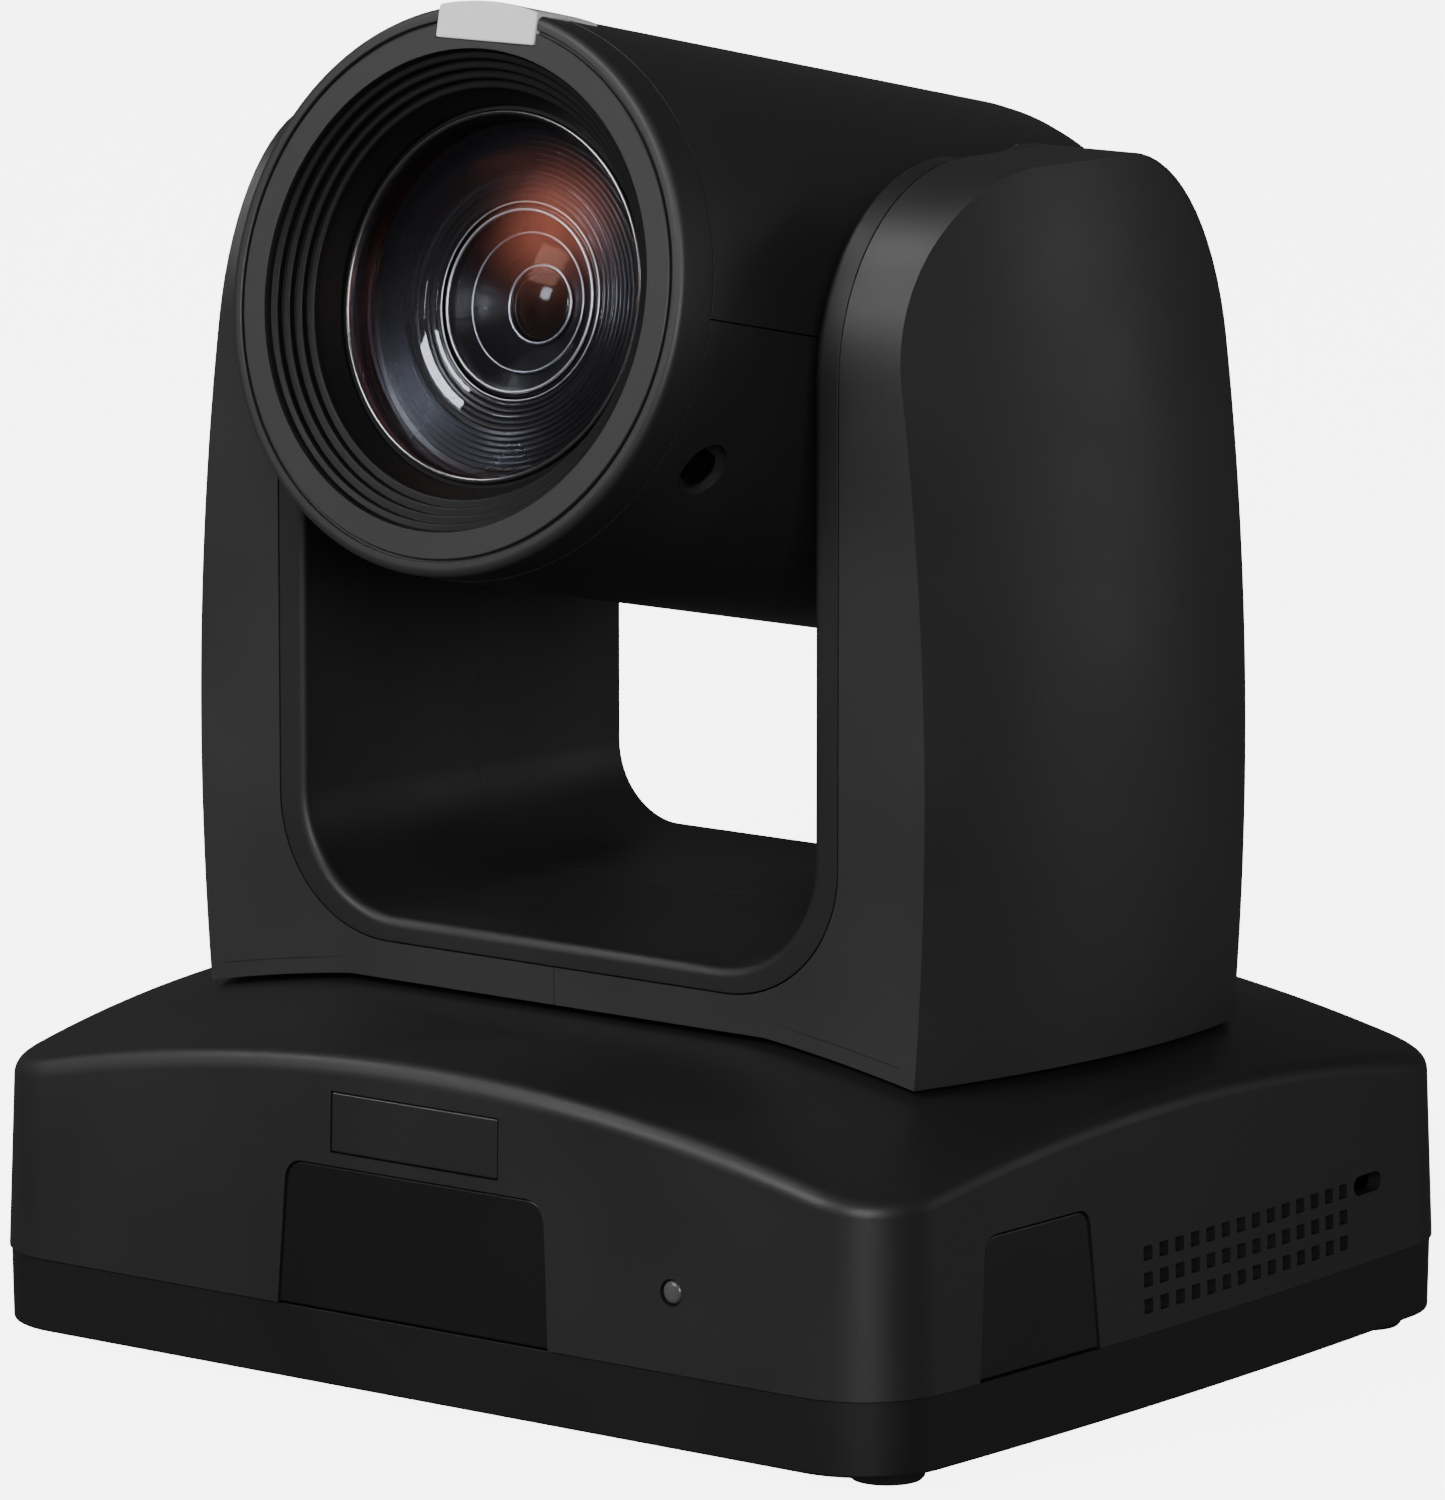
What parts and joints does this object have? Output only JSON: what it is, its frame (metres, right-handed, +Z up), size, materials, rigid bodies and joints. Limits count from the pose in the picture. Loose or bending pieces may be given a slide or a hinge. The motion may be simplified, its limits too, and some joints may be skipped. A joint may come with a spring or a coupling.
{
  "type": "ptz camera",
  "caption": "Pan-tilt-zoom conference camera: a base box with a panning U-shaped yoke that carries a tilting cylindrical camera head.",
  "frame": {"origin": "centre of the base's footprint, on the surface the feet stand on, on the axis of the tripod thread", "axes": "+Z up, -Y towards the front of the base, where the lens looks at rest, +X to the right seen from the front"},
  "size_m": [0.179, 0.1566, 0.2099],
  "materials": {
    "black_plastic": "fine texture, matte black",
    "tray_plastic": "smoother, darker black",
    "liner_plastic": "satin black",
    "bezel_plastic": "matte dark grey",
    "hood_plastic": "matte black",
    "plate": "satin black, blank",
    "tally_plastic": "translucent light grey",
    "clear_plastic": "dark lens",
    "smoked_window": "smoked, infrared passing",
    "rubber": "matte",
    "socket_black": "moulded",
    "socket_green": "moulded",
    "shield": "nickel plated",
    "circuit_board": "solder mask",
    "brass": "turned",
    "steel": "zinc plated",
    "screw_steel": "black zinc",
    "aluminium": "cast",
    "motor": "satin",
    "rim_metal": "anodised, bright edge",
    "coated_glass": "multicoated"
  },
  "bodies": {
    "base": {"base_cover": "black_plastic", "base_tray": "tray_plastic", "rubber_feet": "rubber", "front_ir_window": "smoked_window", "side_ir_windows": "smoked_window", "name_plate": "plate", "status_led": "clear_plastic", "tripod_bush": "brass", "bracket_inserts": "brass", "rear_panel": "black_plastic", "dc_jack": "socket_black", "lan_jack": "shield", "hdmi_socket": "shield", "usb_socket": "shield", "sdi_connector": "shield", "audio_jack": "socket_green", "serial_sockets": "socket_black", "io_board": "circuit_board", "main_board": "circuit_board", "heat_sink": "aluminium", "base_screws": "screw_steel", "bearing_housing": "aluminium", "pan_bearing": "brass", "pan_motor": "motor", "motor_bracket": "steel"},
    "yoke": {"yoke_cover_left": "black_plastic", "yoke_cover_right": "black_plastic", "liner_front": "liner_plastic", "liner_rear": "liner_plastic", "yoke_frame": "steel", "pan_shaft": "steel", "pan_gear": "brass", "tilt_bushes": "brass", "tilt_motor": "motor", "yoke_screws": "screw_steel"},
    "head": {"head_shell_top": "black_plastic", "head_shell_bottom": "black_plastic", "bezel": "bezel_plastic", "tally_light": "tally_plastic", "hood": "hood_plastic", "lens_barrel": "hood_plastic", "lens_rim": "rim_metal", "front_lens": "coated_glass", "lens_baffle": "hood_plastic", "second_lens": "coated_glass", "guide_rods": "steel", "iris_unit": "hood_plastic", "sensor_board": "circuit_board", "camera_chassis": "steel", "tilt_shafts": "steel", "tilt_gear": "brass", "video_board": "circuit_board", "head_screws": "screw_steel"},
    "pan_motor_rotor": {"pan_pinion": "brass"},
    "tilt_motor_rotor": {"tilt_pinion": "brass"},
    "zoom_group": {"zoom_cell": "hood_plastic", "zoom_lens": "coated_glass"},
    "focus_group": {"focus_cell": "hood_plastic", "focus_lens": "coated_glass"}
  },
  "joints": [
    {"name": "pan", "type": "hinge", "parent": "base", "child": "yoke", "pos_m": [0, -0.002, 0.056], "axis": [0, 0, 1], "range_deg": [-170, 170]},
    {"name": "tilt", "type": "hinge", "parent": "yoke", "child": "head", "pos_m": [0, 0.008, 0.1526], "axis": [-1, 0, 0], "range_deg": [-42, 78]},
    {"name": "pan_motor_spin", "type": "hinge", "parent": "base", "child": "pan_motor_rotor", "pos_m": [-0.0375, -0.002, 0.038], "axis": [0, 0, 1], "range_deg": [-680, 680]},
    {"name": "tilt_motor_spin", "type": "hinge", "parent": "yoke", "child": "tilt_motor_rotor", "pos_m": [0.0595, 0.008, 0.1266], "axis": [-1, 0, 0], "range_deg": [-260, 140]},
    {"name": "zoom", "type": "slide", "parent": "head", "child": "zoom_group", "axis": [0, -0.9781, 0.2079], "range_m": [-0.01, 0.003]},
    {"name": "focus", "type": "slide", "parent": "head", "child": "focus_group", "axis": [0, -0.9781, 0.2079], "range_m": [-0.004, 0.004]}
  ],
  "couplings": [
    {"joint": "pan_motor_spin", "follows": "pan", "ratio": -4},
    {"joint": "tilt_motor_spin", "follows": "tilt", "ratio": -3.3333}
  ]
}
